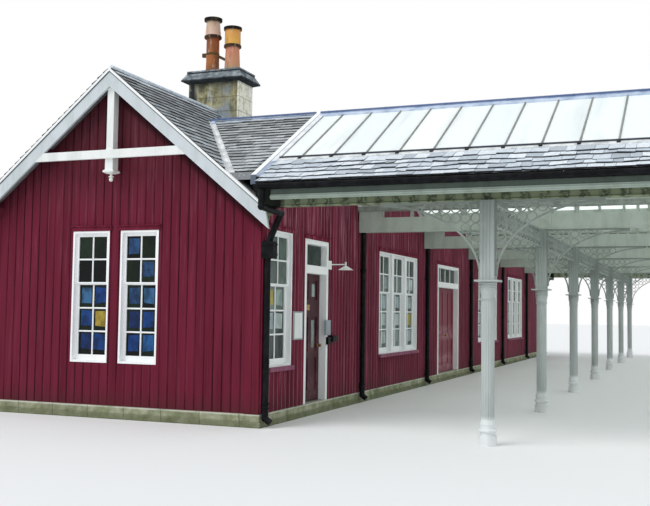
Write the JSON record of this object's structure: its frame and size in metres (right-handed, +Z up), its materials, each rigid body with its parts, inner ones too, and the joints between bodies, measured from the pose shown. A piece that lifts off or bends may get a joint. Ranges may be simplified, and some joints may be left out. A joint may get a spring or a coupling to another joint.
{
  "type": "railway station building",
  "caption": "Single-storey timber station building with a gabled slate range, stone chimney and a glazed ridge-and-furrow platform canopy on iron columns.",
  "frame": {"origin": "on the ground in the middle of the outline", "axes": "+Z up, +Y along the platform away from the near gable, +X from the building towards the rails"},
  "size_m": [11.224, 26.56, 6.876],
  "materials": {
    "stone": "rough",
    "floorboards": "matt",
    "crimson": "satin",
    "slate": "matt",
    "lead": "matt",
    "white_timber": "satin",
    "white_iron": "satin",
    "black_iron": "gloss",
    "roof_glass": "clear",
    "window_glass": "clear",
    "terracotta": "matt",
    "brass": "satin"
  },
  "bodies": {
    "building": {"plinth": "stone", "floor": "floorboards", "wall_gable_near": "crimson", "wall_gable_far": "crimson", "wall_rear": "crimson", "wall_platform_1": "crimson", "wall_platform_2": "crimson", "wall_platform_3": "crimson", "walls_over_doors": "crimson", "wall_gablets": "crimson", "roof_platform_side": "slate", "roof_rear_side": "slate", "main_ridge": "lead", "cross_roofs_near": "slate", "cross_roofs_far": "slate", "skews_near": "white_timber", "skews_far": "white_timber", "valley_gutters": "lead", "chimney_stack": "stone", "chimney_cap": "stone", "chimney_pots": "terracotta", "bargeboards": "white_timber", "collars": "white_timber", "king_posts": "white_timber", "purlins": "crimson", "canopy_frames_near": "white_timber", "canopy_frames_far": "white_timber", "canopy_glass_near": "roof_glass", "canopy_glass_far": "roof_glass", "canopy_slates": "slate", "canopy_ridges": "lead", "eaves_gutters": "black_iron", "end_fascias": "white_timber", "rail_barges_near": "white_timber", "rail_barges_far": "white_timber", "tie_beams": "white_timber", "valley_posts": "white_timber", "columns": "white_iron", "brackets_wall_side": "white_iron", "brackets_rail_side": "white_iron", "friezes": "white_iron", "downpipes": "black_iron", "gable_windows": "white_timber", "platform_windows": "white_timber", "window_glass": "window_glass", "sills": "crimson", "door_frame_1": "white_timber", "door_frame_2": "white_timber", "door_hinges": "black_iron", "wall_lamp": "white_iron", "notice_plate": "white_timber"},
    "door_1": {"door_1_leaf": "crimson", "door_1_lights": "window_glass", "door_1_handle": "brass"},
    "door_2_near": {"door_2_leaf_near": "crimson"},
    "door_2_far": {"door_2_leaf_far": "crimson", "door_2_handle": "brass"}
  },
  "joints": [
    {"name": "door_1_hinge", "type": "hinge", "parent": "building", "child": "door_1", "pos_m": [-0.691, -10.9775, 1.2], "axis": [0, 0, 1], "range_deg": [0, 90]},
    {"name": "door_2_near_hinge", "type": "hinge", "parent": "building", "child": "door_2_near", "pos_m": [-0.691, -3.1165, 1.2], "axis": [0, 0, 1], "range_deg": [0, 90]},
    {"name": "door_2_far_hinge", "type": "hinge", "parent": "building", "child": "door_2_far", "pos_m": [-0.691, -1.2575, 1.2], "axis": [0, 0, 1], "range_deg": [-90, 0]}
  ]
}
